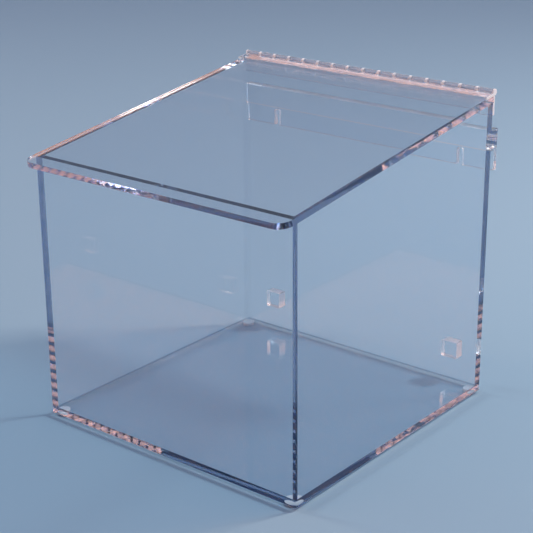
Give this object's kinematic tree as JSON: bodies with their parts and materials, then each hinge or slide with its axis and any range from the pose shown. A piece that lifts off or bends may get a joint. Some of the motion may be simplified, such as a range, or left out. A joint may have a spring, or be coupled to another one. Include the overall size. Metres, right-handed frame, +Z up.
{
  "type": "dispenser box",
  "caption": "Clear acrylic dispenser box with a sloping lid on a continuous rear hinge, a notched wall hanger, spacer pads and bumper feet.",
  "frame": {"origin": "on the surface the box stands on, under the middle of the whole object's box", "axes": "+Z up, +Y from the front wall to the back wall, hinge and wall hanger, +X to the right seen from the front"},
  "size_m": [0.3064, 0.3338, 0.3154],
  "materials": {
    "clear_sheet_acrylic": "clear cast acrylic sheet, glossy faces and cut edges",
    "clear_hinge_acrylic": "clear extruded acrylic, glossy",
    "clear_bumper": "clear soft urethane, slightly satin"
  },
  "bodies": {
    "case": {"base_panel": "clear_sheet_acrylic", "front_wall": "clear_sheet_acrylic", "back_wall": "clear_sheet_acrylic", "left_wall": "clear_sheet_acrylic", "right_wall": "clear_sheet_acrylic", "wall_hinge_leaf": "clear_hinge_acrylic", "hinge_pin": "clear_hinge_acrylic", "hanger_spacer_strip": "clear_sheet_acrylic", "hanger_hook_strip": "clear_sheet_acrylic", "left_wall_pad": "clear_sheet_acrylic", "right_wall_pad": "clear_sheet_acrylic", "front_left_foot": "clear_bumper", "front_right_foot": "clear_bumper", "back_left_foot": "clear_bumper", "back_right_foot": "clear_bumper"},
    "lid": {"lid": "clear_sheet_acrylic", "lid_hinge_leaf": "clear_hinge_acrylic"}
  },
  "joints": [
    {"name": "lid_hinge", "type": "hinge", "parent": "case", "child": "lid", "pos_m": [0, 0.15888, 0.31224], "axis": [-1, 0, 0], "range_deg": [0, 259]}
  ]
}
